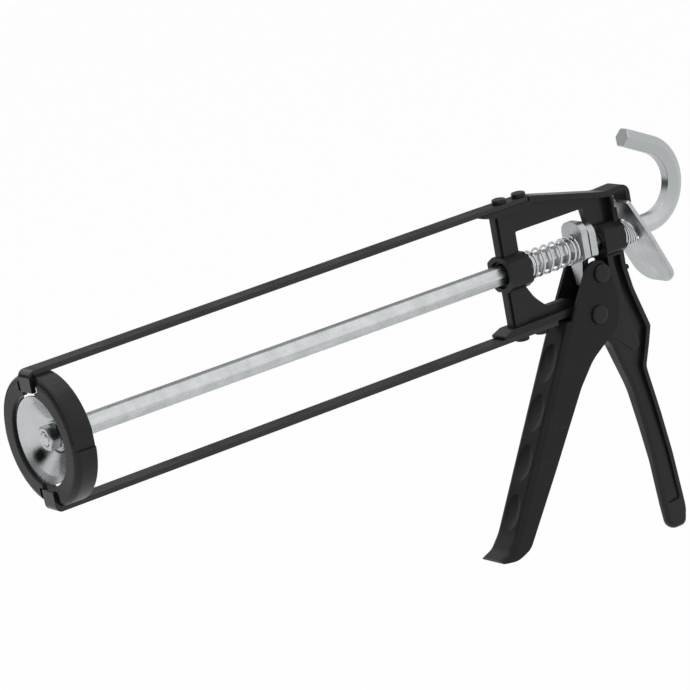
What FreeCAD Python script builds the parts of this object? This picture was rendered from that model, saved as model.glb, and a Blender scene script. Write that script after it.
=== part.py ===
import FreeCAD, Part

"""Skeleton caulking gun for one 300 ml cartridge, as a parametric FreeCAD document.

Frame: +X points forward to the nozzle, +Z up, +Y to the left of the person who holds the gun.
The origin lies on the push rod's axis, in the plane of the front ring's face.
Lengths are millimetres and angles are degrees.
"""

import math
import os
from types import SimpleNamespace

import Sketcher
from FreeCAD import Placement, Rotation, Vector

SIZES = {
    # front ring that holds the cartridge's nozzle end
    "seat_radius": 25.8,
    "ring_wall": 1.8,
    "ring_depth": 10.0,
    "ring_face": 2.0,
    "ring_rounding": 3.0,
    "nozzle_radius": 19.2,
    "notch_width": 14.6,
    "tab_opening": 9.0,
    "crease_radius": 0.9,
    "crease_drop": 1.7,
    "slot_top": 6.0,
    "slot_drop": 7.5,
    "slot_wall": 0.7,
    # the two flat bars
    "bar_width": 8.3,
    "bar_thickness": 2.2,
    "bar_bend_inside": 0.8,
    "bar_seat_depth": 0.3,
    "tab_proud": 0.8,
    "tab_margin": 1.3,
    "upper_bar_overhang": 18.5,
    "lower_bar_overhang": 23.5,
    # casting: web, flanges and hubs, measured back from the front of its post
    "post_distance": 239.0,
    "web_thickness": 3.5,
    "flange_width": 9.4,
    "flange_thickness": 2.6,
    "upper_seat_height": 28.7,
    "lower_seat_height": 27.1,
    "upper_toe": 8.0,
    "lower_toe": 7.0,
    "post_depth": 10.3,
    "panel_edge": 1.3,
    "panel_thickness": 5.3,
    "window_top": 16.8,
    "window_floor": 19.8,
    "hood_step": 2.2,
    "hood_height": 22.0,
    "hood_overhang": 8.7,
    "hood_drop": 9.3,
    "lip_thickness": 2.3,
    "rear_face": 65.6,
    "lug_front": 50.4,
    "lower_beam_end": 33.0,
    "hub_across": 15.6,
    "hub_side": 10.0,
    "hub_top": 7.2,
    "front_hub_length": 11.5,
    "rear_hub_front": 54.0,
    "rear_hub_length": 11.6,
    "counterbore_radius": 6.2,
    "counterbore_depth": 1.6,
    "recess_web": 1.8,
    # grip below the casting's rear post
    "grip_end": 141.0,
    "grip_width": 4.6,
    "grip_rounding": 2.0,
    "grip_rear_flange": 2.1,
    # rivets
    "bar_rivet_radius": 1.4,
    "bar_rivet_head": 3.2,
    "bar_rivet_height": 2.2,
    "bar_rivet_depth": 7.0,
    "bar_rivet_front": 5.5,
    "bar_rivet_pitch": 11.0,
    "pin_radius": 2.9,
    "pin_head_radius": 4.3,
    "pin_head_height": 1.4,
    "pin_fit": 0.1,
    # trigger
    "pivot_back": 43.5,
    "pivot_drop": 30.0,
    "pivot_boss_radius": 6.5,
    "drive_arm": 18.3,
    "drive_lean": 16.2,
    "trigger_width": 16.0,
    "trigger_wall": 1.8,
    "trigger_rounding": 3.0,
    "dimple_count": 4,
    "dimple_pitch": 22.5,
    "dimple_length": 12.0,
    "dimple_width": 7.0,
    "dimple_radius": 3.0,
    "dimple_depth": 1.0,
    # rod, disc and nut
    "hex_across": 8.0,
    "rod_clearance": 0.3,
    "hook_distance": 85.2,
    "hook_radius": 18.0,
    "hook_turn": 154.0,
    "hook_leg": 16.0,
    "stud_radius": 2.9,
    "stud_fit": 0.1,
    "stud_recess": 1.5,
    "disc_radius": 18.4,
    "disc_thickness": 1.2,
    "disc_dish": 7.1,
    "disc_flat": 7.1,
    "disc_rim": 1.4,
    "washer_radius": 6.1,
    "washer_thickness": 0.8,
    "nut_across": 10.0,
    "nut_height": 4.8,
    # drive plates and their spring
    "drive_plate_thickness": 3.6,
    "drive_plate_gap": 0.3,
    "drive_plate_clearance": 0.3,
    "front_plate_half": 7.0,
    "front_plate_top": 12.0,
    "front_plate_tail": 17.0,
    "plate_shoulder": 4.6,
    "rear_plate_half": 7.4,
    "rear_plate_top": 10.5,
    "spring_radius": 5.9,
    "drive_wire": 1.4,
    "drive_coils": 7.5,
    "release_wire": 1.0,
    "release_coils": 3.4,
    "spring_seat": 0.05,
    # release plate
    "release_lean": 25.7,
    "release_thickness": 1.8,
    "release_distance": 73.6,
    "release_half": 13.0,
    "release_shoulder_half": 11.5,
    "release_shoulder": 16.6,
    "release_bottom": 30.5,
    "release_tongue": 7.4,
    "release_top": 19.6,
    "release_hole_height": 12.8,
}

doc = FreeCAD.newDocument("caulking_gun")
sheet = doc.addObject("Spreadsheet::Sheet", "Sizes")
for row, (alias, value) in enumerate(SIZES.items(), start=1):
    sheet.set(f"A{row}", alias)
    sheet.set(f"B{row}", str(value))
    sheet.setAlias(f"B{row}", alias)
doc.recompute()
size = SimpleNamespace(**{alias: float(sheet.get(alias)) for alias in SIZES})

# Places that several pieces share, worked out from the sheet.
ring_radius = size.seat_radius + size.ring_wall
ring_seat = ring_radius - size.bar_seat_depth
tab_back = size.bar_thickness - size.tab_proud
tab_end = size.nozzle_radius + size.tab_margin
bore_radius = size.hex_across / 2 / math.cos(math.pi / 6) + size.rod_clearance
web_half = size.web_thickness / 2
flange_half = size.flange_width / 2
grip_half = size.grip_width / 2
hub_half = size.hub_across / 2
hood_pocket = size.hood_height - size.flange_thickness - 0.5
hood_rear = size.rear_face + size.hood_overhang
lip_front = hood_rear - size.lip_thickness
lip_end = size.hood_height - size.hood_drop
rear_hub_end = size.rear_hub_front + size.rear_hub_length
pin_hole_radius = size.pin_radius + size.pin_fit
drive_pin = Vector(
    -size.drive_arm * math.sin(math.radians(size.drive_lean)),
    0,
    size.drive_arm * math.cos(math.radians(size.drive_lean)),
)
pivot = Vector(-size.post_distance - size.pivot_back, 0, -size.pivot_drop)
front_plate_rear = pivot.x + drive_pin.x + size.pin_radius + size.drive_plate_clearance
front_plate_face = front_plate_rear + size.drive_plate_thickness
rear_plate_face = front_plate_rear - size.drive_plate_gap
hub_rear_face = -size.post_distance - size.front_hub_length
disc_front = -size.disc_rim - size.disc_dish
bend_start_x = -size.post_distance - size.hook_distance
release_face = -size.post_distance - size.release_distance
SKETCH_MARGIN = 4.0


# ---------------------------------------------------------------- helpers
def new_body(label, base=Vector(0, 0, 0), rotation=Rotation()):
    """Start a PartDesign body whose label names the piece and its file."""
    body = doc.addObject("PartDesign::Body", label)
    body.Label = label
    body.Placement = Placement(base, rotation)
    return body


def new_sketch(body, name, role, offset=0.0):
    """Attach a sketch to one of the body's own planes, moved along the plane's normal."""
    sketch = body.newObject("Sketcher::SketchObject", f"{body.Label}_{name}")
    plane = next(item for item in body.Origin.OriginFeatures if item.Role == role)
    sketch.AttachmentSupport = (plane, [""])
    sketch.MapMode = "FlatFace"
    sketch.AttachmentOffset = Placement(Vector(0, 0, offset), Rotation())
    return sketch


def rounded_pieces(corners):
    """Lines and arcs of a closed outline given as (across, up, corner radius)."""
    spans = []
    for index, (across, up, radius) in enumerate(corners):
        here = Vector(across, up, 0)
        before = Vector(*corners[index - 1][:2], 0)
        after = Vector(*corners[(index + 1) % len(corners)][:2], 0)
        back = (before - here).normalize()
        ahead = (after - here).normalize()
        if radius <= 0:
            spans.append((here, None, here))
            continue
        half_angle = back.getAngle(ahead) / 2
        reach = radius / math.tan(half_angle)
        middle = (back + ahead).normalize()
        nearest = here + middle * (radius / math.sin(half_angle) - radius)
        spans.append((here + back * reach, nearest, here + ahead * reach))
    pieces = []
    for index, (start, nearest, end) in enumerate(spans):
        if nearest is not None:
            pieces.append((Part.Arc(start, nearest, end), start, end))
        following = spans[(index + 1) % len(spans)][0]
        if (following - end).Length > 1e-6:
            pieces.append((Part.LineSegment(end, following), end, following))
    return pieces


def draw_outline(sketch, corners):
    """Add a closed outline with joined ends to a sketch."""
    ends = []
    for geometry, start, _end in rounded_pieces(corners):
        index = sketch.addGeometry(geometry)
        starts_first = (sketch.getPoint(index, 1) - start).Length < 1e-5
        ends.append((index, 1, 2) if starts_first else (index, 2, 1))
    for position, (index, _first, last) in enumerate(ends):
        next_index, next_first, _last = ends[(position + 1) % len(ends)]
        sketch.addConstraint(Sketcher.Constraint("Coincident", index, last, next_index, next_first))


def draw_circle(sketch, across, up, radius, expression):
    """Add a circle whose radius follows an expression of the sheet."""
    index = sketch.addGeometry(Part.Circle(Vector(across, up, 0), Vector(0, 0, 1), radius))
    if across:
        sketch.addConstraint(Sketcher.Constraint("DistanceX", -1, 1, index, 3, across))
    if up:
        sketch.addConstraint(Sketcher.Constraint("DistanceY", -1, 1, index, 3, up))
    if not across and not up:
        sketch.addConstraint(Sketcher.Constraint("Coincident", index, 3, -1, 1))
    row = sketch.addConstraint(Sketcher.Constraint("Radius", index, radius))
    sketch.setExpression(f"Constraints[{row}]", expression)


def rectangle(across_low, across_high, up_low, up_high, radius=0.0):
    """Corners of a rectangle for draw_outline."""
    return [
        (across_low, up_low, radius),
        (across_high, up_low, radius),
        (across_high, up_high, radius),
        (across_low, up_high, radius),
    ]


def polygon(count, across_flats, radius=0.0, turn=0.0):
    """Corners of a regular polygon about the sketch's origin."""
    reach = across_flats / 2 / math.cos(math.pi / count)
    angles = [turn + 2 * math.pi * index / count for index in range(count)]
    return [(reach * math.cos(angle), reach * math.sin(angle), radius) for angle in angles]


def mirrored_corners(corners):
    """Complete a profile that is symmetrical about its upright axis."""
    return corners + [(-across, up, radius) for across, up, radius in reversed(corners)]


def pad(body, sketch, name, expression, symmetric=True, backwards=False):
    """Extrude a sketch by a length bound to the sheet."""
    feature = body.newObject("PartDesign::Pad", f"{body.Label}_{name}")
    feature.Profile = sketch
    feature.SideType = "Symmetric" if symmetric else "One side"
    feature.Reversed = backwards
    feature.setExpression("Length", expression)
    doc.recompute()
    return feature


def cut(body, sketch, name, expression=None, symmetric=False, backwards=False):
    """Cut a sketch out of a body, right through or to a bound depth, and see that it cuts."""
    volume = body.Shape.Volume
    feature = body.newObject("PartDesign::Pocket", f"{body.Label}_{name}")
    feature.Profile = sketch
    feature.SideType = "Symmetric" if symmetric else "One side"
    feature.Reversed = backwards
    if expression is None:
        feature.Type = "ThroughAll"
    else:
        feature.setExpression("Length", expression)
    doc.recompute()
    if body.Shape.Volume >= volume - 1e-6:
        raise RuntimeError(f"{body.Label}: {name} removes nothing")
    return feature


def side_cuts(body, name, corners, half_width, expression):
    """Recess both flanks of a body down to a web of the given half width."""
    for side, offset, backwards in (("left", -half_width, False), ("right", half_width, True)):
        sketch = new_sketch(body, f"{name}_{side}_outline", "XZ_Plane", offset)
        draw_outline(sketch, corners)
        cut(body, sketch, f"{name}_{side}", expression, backwards=backwards)


def revolve(body, sketch, name, axis="H_Axis"):
    """Turn a sketch all the way round one of its own axes."""
    feature = body.newObject("PartDesign::Revolution", f"{body.Label}_{name}")
    feature.Profile = sketch
    feature.ReferenceAxis = (sketch, [axis])
    feature.Angle = 360
    doc.recompute()
    return feature


def fillet(body, name, expression, wanted):
    """Round every edge of the body's tip that the test function accepts."""
    base = body.Tip
    edges = [f"Edge{n}" for n, edge in enumerate(base.Shape.Edges, start=1) if wanted(edge)]
    feature = body.newObject("PartDesign::Fillet", f"{body.Label}_{name}")
    feature.Base = (base, edges)
    feature.setExpression("Radius", expression)
    doc.recompute()
    return feature


# ---------------------------------------------------------------- front ring
def make_front_ring():
    """Cup-shaped ring: a skirt for the cartridge and a flange round the nozzle."""
    body = new_body("front_ring")
    sketch = new_sketch(body, "section", "XZ_Plane")
    draw_outline(sketch, [
        (0, size.nozzle_radius, 0.5),
        (0, ring_radius, size.ring_rounding),
        (-size.ring_depth, ring_radius, 0.6),
        (-size.ring_depth, size.seat_radius, 0.3),
        (-size.ring_face, size.seat_radius, 0.4),
        (-size.ring_face, size.nozzle_radius, 0.3),
    ])
    revolve(body, sketch, "cup")
    reach = ring_radius + SKETCH_MARGIN
    half_notch = size.notch_width / 2
    flats = new_sketch(body, "bar_flats", "YZ_Plane")
    tab_notches = new_sketch(body, "tab_notches", "YZ_Plane")
    face_notches = new_sketch(body, "face_notches", "YZ_Plane")
    for low, high, width, sketch in (
        (ring_seat, reach, size.bar_width, flats),
        (tab_end, reach, half_notch, tab_notches),
        (tab_end - 2.0, tab_end + 2.0, size.tab_opening / 2, face_notches),
    ):
        draw_outline(sketch, rectangle(-width, width, low, high))
        draw_outline(sketch, rectangle(-width, width, -high, -low))
    cut(body, flats, "bar_seats")
    cut(body, tab_notches, "tab_seats", "Sizes.bar_thickness - Sizes.tab_proud")
    cut(body, face_notches, "tab_openings", "Sizes.ring_face")
    relief = new_sketch(body, "bend_relief", "XZ_Plane")
    for side in (1, -1):
        draw_outline(relief, [
            (-tab_back, side * ring_seat, 0),
            (-tab_back - size.bar_bend_inside, side * ring_seat, 0),
            (-tab_back, side * (ring_seat - size.bar_bend_inside), 0),
        ])
    cut(body, relief, "bend_reliefs", "Sizes.notch_width", symmetric=True)
    crease = new_sketch(body, "crease_section", "XZ_Plane")
    draw_circle(crease, -0.1, ring_radius - size.crease_drop, size.crease_radius, "Sizes.crease_radius")
    groove = body.newObject("PartDesign::Groove", "front_ring_crease")
    groove.Profile = crease
    groove.ReferenceAxis = (crease, ["H_Axis"])
    groove.Midplane = True
    groove.Angle = 172
    doc.recompute()
    side_cuts(body, "side_slots", rectangle(
        -size.ring_depth - SKETCH_MARGIN, -0.6,
        size.slot_top - size.slot_drop, size.slot_top,
    ), size.seat_radius + size.slot_wall, "Sizes.ring_wall + 1")
    return body


# ---------------------------------------------------------------- bars
def make_bar(label, side, rear_seat, toe, overhang):
    """Flat bar, riveted to the casting and hooked over the ring's front face."""
    front_inner = ring_seat
    outside = size.bar_thickness
    rear = -size.post_distance - overhang
    casting_toe = toe - size.post_distance
    ring_rear = -size.ring_depth - 1.0
    outer_bend = size.bar_bend_inside + outside
    corners = [
        (size.tab_proud, tab_end, 0.4),
        (size.tab_proud, front_inner + outside, outer_bend),
        (ring_rear, front_inner + outside, 0),
        (casting_toe, rear_seat + outside, 0),
        (rear, rear_seat + outside, 0.4),
        (rear, rear_seat, 0.4),
        (casting_toe, rear_seat, 0),
        (ring_rear, front_inner, 0),
        (-tab_back, front_inner, size.bar_bend_inside),
        (-tab_back, tab_end, 0.4),
    ]
    body = new_body(label)
    sketch = new_sketch(body, "profile", "XZ_Plane")
    draw_outline(sketch, [(across, side * up, radius) for across, up, radius in corners])
    pad(body, sketch, "strip", "Sizes.bar_width")
    holes = new_sketch(body, "rivet_holes", "XY_Plane")
    for index in range(2):
        station = -size.post_distance - size.bar_rivet_front - index * size.bar_rivet_pitch
        draw_circle(holes, station, 0, size.bar_rivet_radius, "Sizes.bar_rivet_radius")
    cut(body, holes, "rivet_bores", symmetric=True)
    return body


# ---------------------------------------------------------------- casting
def grip_outline():
    """Side view of the grip and the plate that carries the trigger's pivot."""
    rear = size.rear_face
    end = -size.grip_end
    return [
        (-rear, -7.0, 0),
        (-rear, -13.5, 12),
        (-rear - 2.3, -25.0, 30),
        (-rear - 8.8, -44.4, 3),
        (-rear - 6.3, -52.5, 30),
        (-rear - 2.9, -62.0, 6),
        (-rear - 7.3, -85.0, 90),
        (-rear - 10.5, -105.0, 120),
        (-rear - 13.9, end + 4.6, 0),
        (-rear - 13.0, end, 3.4),
        (-rear - 2.7, end, 5.2),
        (-rear - 1.4, -129.0, 30),
        (-rear + 0.1, -107.0, 60),
        (-rear + 2.5, -90.0, 60),
        (-rear + 5.7, -70.5, 60),
        (-rear + 13.5, -47.8, 12),
        (-size.pivot_back - 1.0, -size.pivot_drop - size.pivot_boss_radius, 0),
        (-size.pivot_back, -size.pivot_drop, 0),
        (-size.pivot_back - 4.5, -size.pivot_drop + 4.5, 0),
        (-size.rear_hub_front - 2.0, -14.0, 3),
        (-size.rear_hub_front - 2.0, -7.0, 0),
    ]


def grip_recess():
    """Long hollow between the grip's front and rear flanges, under the strap's end."""
    rear = size.rear_face
    wall = size.grip_rear_flange
    return [
        (-rear + wall + 0.3, -hub_half - 0.2, 0.5),
        (-rear + wall + 0.3, -13.5, 12),
        (-rear - 2.3 + wall, -25.3, 28),
        (-rear - 8.8 + wall + 0.3, -44.6, 2),
        (-rear - 6.3 + wall, -52.2, 28),
        (-rear - 2.9 + wall, -61.6, 4),
        (-rear - 7.3 + wall, -85.0, 88),
        (-rear - 10.5 + wall, -105.0, 118),
        (-rear - 12.9 + wall, -127.5, 1.5),
        (-rear - 3.7, -128.0, 1.5),
        (-rear - 1.3, -107.0, 60),
        (-rear + 0.9, -89.0, 60),
        (-rear + 3.2, -70.0, 60),
        (-rear + 5.6, -57.0, 2),
        (-rear + 2.6, -53.8, 0.5),
        (-rear - 0.9, -51.4, 0.5),
        (-rear - 0.5, -45.0, 4),
        (-rear + 4.6, -25.5, 20),
        (-rear + 6.8, -hub_half - 0.2, 0.5),
    ]


def make_frame_casting():
    """Body casting: ribbed posts, hubs for the rod, hood, pivot boss and grip."""
    body = new_body("frame_casting", Vector(-size.post_distance, 0, 0))
    body.setExpression("Placement.Base.x", "-Sizes.post_distance")

    grip = new_sketch(body, "grip_outline", "XZ_Plane")
    draw_outline(grip, grip_outline())
    pad(body, grip, "grip", "Sizes.flange_width")

    taper = new_sketch(body, "grip_taper_outline", "YZ_Plane")
    outside = flange_half + SKETCH_MARGIN
    below = -size.grip_end - SKETCH_MARGIN
    for side in (1, -1):
        draw_outline(taper, [
            (side * flange_half, -13.5, 0),
            (side * grip_half, below, 0),
            (side * outside, below, 0),
            (side * outside, -13.5, 0),
        ])
    cut(body, taper, "grip_taper", symmetric=True)

    def on_grip_front(edge):
        centre = edge.CenterOfMass
        middle = -size.rear_face + 3.1 + (centre.z + 47.0) * 0.1225
        upright = edge.BoundBox.ZLength > edge.BoundBox.YLength
        return abs(centre.y) > grip_half - 0.1 and centre.z < -46.0 and centre.x > middle and upright

    fillet(body, "grip_front_rounding", "Sizes.grip_rounding", on_grip_front)

    web = new_sketch(body, "web_outline", "XZ_Plane")
    draw_outline(web, [
        (0, -size.lower_seat_height + 1.0, 0),
        (0, size.upper_seat_height - 1.0, 0),
        (-size.upper_bar_overhang, size.upper_seat_height - 1.0, 0),
        (-size.upper_bar_overhang, size.upper_seat_height + size.hood_step - 1.0, 0),
        (-61.0, size.hood_height - 1.5, 0),
        (-size.rear_face + 1.0, size.hood_height - 1.5, 0),
        (-size.rear_face + 1.0, -14.0, 0),
        (-size.rear_face + 3.0, -24.0, 0),
        (-size.pivot_back - 3.0, -size.pivot_drop - 4.0, 0),
        (-size.pivot_back + 2.0, -size.pivot_drop - 4.5, 0),
        (-size.lower_beam_end, -size.lower_seat_height + 0.4, 3),
    ])
    draw_outline(web, [
        (-size.post_depth, size.window_top, 0.8),
        (-size.post_depth, -7.0, 0),
        (-14.5, -14.0, 16),
        (-20.5, -size.window_floor, 6),
        (-32.5, -size.window_floor, 4),
        (-size.pivot_back + 4.5, -size.pivot_drop + 4.4, 0),
        (-size.pivot_back - 4.5, -size.pivot_drop + 4.4, 0),
        (-size.rear_hub_front - 0.4, -14.5, 2.5),
        (-size.rear_hub_front - 0.4, hub_half - 0.3, 0),
        (-size.lug_front, hub_half + 0.6, 0.6),
        (-size.lug_front + 1.5, size.window_top, 1.8),
    ])
    pad(body, web, "web", "Sizes.web_thickness")

    top = new_sketch(body, "top_flange_outline", "XZ_Plane")
    under = size.upper_seat_height - size.flange_thickness
    inner_rear = size.rear_face - size.flange_thickness
    seat_end = size.upper_bar_overhang
    hood_inside = size.hood_height - size.flange_thickness
    draw_outline(top, [
        (size.upper_toe, size.upper_seat_height, 0.4),
        (size.upper_toe, size.upper_seat_height - 1.0, 0.4),
        (1.5, under, 1.5),
        (-seat_end, under, 0),
        (-seat_end - 1.5, size.upper_seat_height + size.hood_step - 3.0, 0),
        (-60.0, hood_pocket, 8),
        (-inner_rear, hood_pocket, 1.5),
        (-inner_rear, -9.0, 0),
        (-size.rear_face, -9.0, 0),
        (-size.rear_face, lip_end + 0.3, 0.3),
        (-size.rear_face + 1.2, lip_end + 0.6, 0.3),
        (-size.rear_face + 1.2, hood_inside, 1.0),
        (-lip_front, hood_inside, 1.0),
        (-lip_front, lip_end, 0.6),
        (-hood_rear, lip_end, 0.6),
        (-hood_rear, size.hood_height + 0.2, 4.5),
        (-size.rear_face, size.hood_height - 0.2, 8),
        (-60.0, size.hood_height - 0.5, 14),
        (-seat_end - 2.0, size.upper_seat_height + size.hood_step - 0.3, 1.0),
        (-seat_end, size.upper_seat_height + size.hood_step - 0.3, 0.4),
        (-seat_end, size.upper_seat_height, 0),
    ])
    pad(body, top, "top_flange", "Sizes.flange_width")

    lower = new_sketch(body, "lower_flange_outline", "XZ_Plane")
    above = -size.lower_seat_height + size.flange_thickness + 0.7
    above_flange = -above + 0.5
    draw_outline(lower, [
        (size.lower_toe, -size.lower_seat_height, 0.4),
        (size.lower_toe, -size.lower_seat_height + 1.4, 0.4),
        (2.0, above, 1.5),
        (-size.lower_beam_end, above, 1.4),
        (-size.lower_beam_end, -size.lower_seat_height, 1.2),
    ])
    pad(body, lower, "lower_flange", "Sizes.flange_width")

    for name, start, length in (
        ("front_hub", 0.6, "Sizes.front_hub_length + 0.6"),
        ("rear_hub", -size.rear_hub_front, "Sizes.rear_hub_length"),
    ):
        hub = new_sketch(body, f"{name}_outline", "YZ_Plane", start)
        draw_outline(hub, mirrored_corners([
            (size.hub_top / 2, hub_half, 1.4),
            (hub_half, size.hub_side / 2, 1.4),
            (hub_half, -size.hub_side / 2, 1.4),
            (size.hub_top / 2, -hub_half, 1.4),
        ]))
        pad(body, hub, name, length, symmetric=False, backwards=True)

    panels = new_sketch(body, "post_panels", "XZ_Plane")
    for low, high in ((-above_flange, -hub_half + 1.0), (hub_half - 1.0, under + 0.5)):
        draw_outline(panels, rectangle(
            -size.post_depth + size.panel_edge, -size.panel_edge, low, high
        ))
    pad(body, panels, "panel", "Sizes.panel_thickness")

    boss = new_sketch(body, "pivot_boss_outline", "XZ_Plane")
    draw_circle(boss, -size.pivot_back, -size.pivot_drop, size.pivot_boss_radius, "Sizes.pivot_boss_radius")
    pad(body, boss, "pivot_boss", "Sizes.trigger_width - 2 * Sizes.trigger_wall - 0.6")

    strap = new_sketch(body, "strap_outline", "XZ_Plane")
    rear = size.rear_face
    draw_outline(strap, [
        (-rear + 14.6, -42.5, 0.8),
        (-rear + 2.4, -53.4, 1.2),
        (-rear - 0.9, -51.2, 1.2),
        (-rear + 11.4, -40.0, 0.8),
    ])
    pad(body, strap, "strap", "Sizes.flange_width - 0.6")

    nub = new_sketch(body, "nub_outline", "XZ_Plane")
    draw_outline(nub, [
        (-rear + 0.8, -13.2, 0),
        (-rear - 1.6, -13.8, 0.6),
        (-rear - 2.2, -15.6, 0.6),
        (-rear + 0.4, -16.6, 0),
    ])
    pad(body, nub, "nub", "Sizes.flange_width - 1.2")

    side_cuts(body, "grip_recess", grip_recess(), web_half, "Sizes.flange_width")
    side_cuts(body, "post_recess", [
        (-58.4, hood_pocket, 1.2),
        (-inner_rear, hood_pocket, 1.2),
        (-inner_rear, hub_half + 0.1, 0.6),
        (-59.2, hub_half + 0.1, 0.6),
    ], size.recess_web / 2, "Sizes.web_thickness")

    bore = new_sketch(body, "rod_bore_outline", "YZ_Plane")
    draw_circle(bore, 0, 0, bore_radius, "Sizes.hex_across / 2 / cos(30) + Sizes.rod_clearance")
    cut(body, bore, "rod_bore", symmetric=True)
    counterbore = new_sketch(body, "counterbore_outline", "YZ_Plane", 0.6)
    draw_circle(counterbore, 0, 0, size.counterbore_radius, "Sizes.counterbore_radius")
    cut(body, counterbore, "counterbore", "Sizes.counterbore_depth")
    pivot_hole = new_sketch(body, "pivot_hole_outline", "XZ_Plane")
    draw_circle(
        pivot_hole, -size.pivot_back, -size.pivot_drop, pin_hole_radius, "Sizes.pin_radius + Sizes.pin_fit"
    )
    cut(body, pivot_hole, "pivot_hole", symmetric=True)
    for name, height, upwards in (
        ("upper", size.upper_seat_height, False),
        ("lower", -size.lower_seat_height, True),
    ):
        holes = new_sketch(body, f"{name}_rivet_holes", "XY_Plane", height)
        for index in range(2):
            station = -size.bar_rivet_front - index * size.bar_rivet_pitch
            draw_circle(holes, station, 0, size.bar_rivet_radius, "Sizes.bar_rivet_radius")
        cut(body, holes, f"{name}_rivet_bores", "Sizes.bar_rivet_depth", backwards=upwards)
    return body


# ---------------------------------------------------------------- rivets
def make_bar_rivet(label, side, seat, index):
    """Round-headed rivet through a bar into the casting."""
    station = -size.post_distance - size.bar_rivet_front - index * size.bar_rivet_pitch
    flip = Rotation() if side > 0 else Rotation(Vector(1, 0, 0), 180)
    body = new_body(label, Vector(station, 0, side * seat), flip)
    head_low = size.bar_thickness
    sketch = new_sketch(body, "section", "XZ_Plane")
    draw_outline(sketch, [
        (0, -size.bar_rivet_depth + 0.3, 0),
        (size.bar_rivet_radius, -size.bar_rivet_depth + 0.3, 0.3),
        (size.bar_rivet_radius, head_low, 0),
        (size.bar_rivet_head, head_low, 0.2),
        (size.bar_rivet_head, head_low + size.bar_rivet_height, 0.9),
        (0, head_low + size.bar_rivet_height, 0),
    ])
    revolve(body, sketch, "rivet", "V_Axis")
    return body


def make_pin(label, centre):
    """Cross pin with a head on each side of the trigger's cheeks."""
    body = new_body(label, centre)
    under_head = size.trigger_width / 2 + size.pin_fit
    top = under_head + size.pin_head_height
    sketch = new_sketch(body, "section", "XY_Plane")
    draw_outline(sketch, [
        (0, -top, 0),
        (size.pin_head_radius, -top, 0.7),
        (size.pin_head_radius, -under_head, 0.15),
        (size.pin_radius, -under_head, 0),
        (size.pin_radius, under_head, 0),
        (size.pin_head_radius, under_head, 0.15),
        (size.pin_head_radius, top, 0.7),
        (0, top, 0),
    ])
    revolve(body, sketch, "pin", "V_Axis")
    return body


# ---------------------------------------------------------------- trigger
def make_trigger():
    """Channel-section trigger: two cheeks, a rounded front wall and a flared lip."""
    body = new_body("trigger", pivot)
    wall_top = Vector(17.2, 1.2, 0)
    wall_end = Vector(63.1, -79.8, 0)
    along = (wall_end - wall_top).normalize()
    inward = Vector(along.y, -along.x, 0)
    inner_top = wall_top + inward * size.trigger_wall
    inner_end = wall_end + inward * size.trigger_wall
    outline = new_sketch(body, "cheek_outline", "XZ_Plane")
    draw_outline(outline, [
        (drive_pin.x - 1.0, drive_pin.z + 17.8, 7.0),
        (15.4, wall_top.y, 1.2),
        (wall_top.x, wall_top.y, 0),
        (wall_end.x + 1.6, wall_end.y - 3.2, 22),
        (69.6, -88.6, 6),
        (75.0, -90.8, 0),
        (74.4, -92.2, 0),
        (66.5, -93.4, 12),
        (58.8, -90.4, 8),
        (38.6, -61.6, 160),
        (16.5, -29.0, 30),
        (7.5, -18.8, 20),
        (-9.6, -8.0, 6),
        (-12.6, 3.0, 14),
    ])
    pad(body, outline, "channel", "Sizes.trigger_width")

    def on_front_wall(edge):
        centre = edge.CenterOfMass
        reach = (centre.x - wall_top.x) * inward.x + (centre.z - wall_top.y) * inward.y
        on_wall = abs(reach) < 1.2 or centre.x > 64.0 and centre.z > -91.5
        at_corner = abs(abs(centre.y) - size.trigger_width / 2) < 0.01
        return at_corner and on_wall and centre.z < -2.0 and edge.Length > 3.0

    fillet(body, "front_rounding", "Sizes.trigger_rounding", on_front_wall)

    hollow = new_sketch(body, "channel_outline", "XZ_Plane")
    draw_outline(hollow, [
        (30.0, 45.0, 0),
        (30.0, wall_top.y + 0.1, 0),
        (inner_top.x - 0.6, wall_top.y + 0.1, 0),
        (inner_end.x + 1.3, inner_end.y - 2.6, 20),
        (68.2, -90.4, 0),
        (71.0, -100.0, 0),
        (30.0, -100.0, 0),
        (-30.0, -30.0, 0),
        (-30.0, 45.0, 0),
    ])
    cut(body, hollow, "hollow", "Sizes.trigger_width - 2 * Sizes.trigger_wall", symmetric=True)

    outward = Vector(-inward.x, 0, -inward.y)
    slope = Rotation(Vector(1, 0, 0), Vector(along.x, 0, along.y))
    first = Vector(wall_top.x, 0, wall_top.y) + Vector(along.x, 0, along.y) * 19.0
    for index in range(int(size.dimple_count)):
        station = first + Vector(along.x, 0, along.y) * size.dimple_pitch * index
        dimple = body.newObject("PartDesign::SubtractiveEllipsoid", f"trigger_dimple_{index + 1}")
        dimple.MapMode = "Deactivated"
        dimple.Placement = Placement(station + outward * (size.dimple_radius - size.dimple_depth), slope)
        dimple.setExpression("Radius1", "Sizes.dimple_radius")
        dimple.setExpression("Radius2", "Sizes.dimple_length")
        dimple.setExpression("Radius3", "Sizes.dimple_width")
        doc.recompute()

    holes = new_sketch(body, "pin_holes", "XZ_Plane")
    for centre in (Vector(0, 0, 0), drive_pin):
        draw_circle(holes, centre.x, centre.z, pin_hole_radius, "Sizes.pin_radius + Sizes.pin_fit")
    cut(body, holes, "pin_bores", symmetric=True)
    return body


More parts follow.
